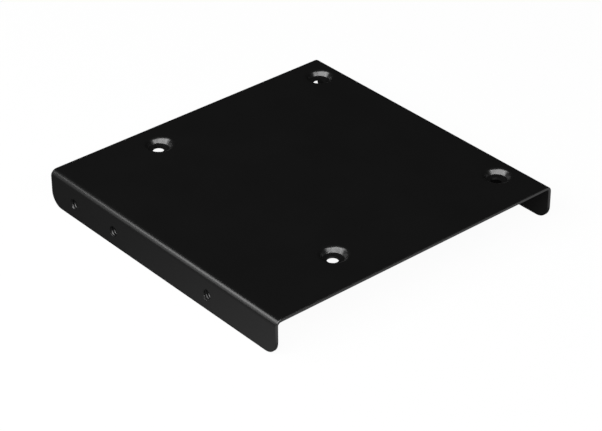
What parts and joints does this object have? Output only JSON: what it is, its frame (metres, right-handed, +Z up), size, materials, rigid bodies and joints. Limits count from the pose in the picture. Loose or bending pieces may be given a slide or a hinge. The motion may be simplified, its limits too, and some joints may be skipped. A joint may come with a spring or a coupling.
{
  "type": "drive bay adapter bracket",
  "caption": "Folded sheet-metal bracket in satin black paint that carries a small drive in a wider drive bay, with recessed drive screw holes and tapped side holes.",
  "frame": {"origin": "under the middle of the plate, level with the free edges of the flanges that it stands on", "axes": "+X from the left flange to the right one, +Y along the flanges from the near end to the far end, +Z up to the plate's outer face"},
  "size_m": [0.1016, 0.0996, 0.0113],
  "materials": {
    "black_paint": "satin, finely grained"
  },
  "bodies": {
    "root": {"bracket": "black_paint"}
  },
  "joints": []
}
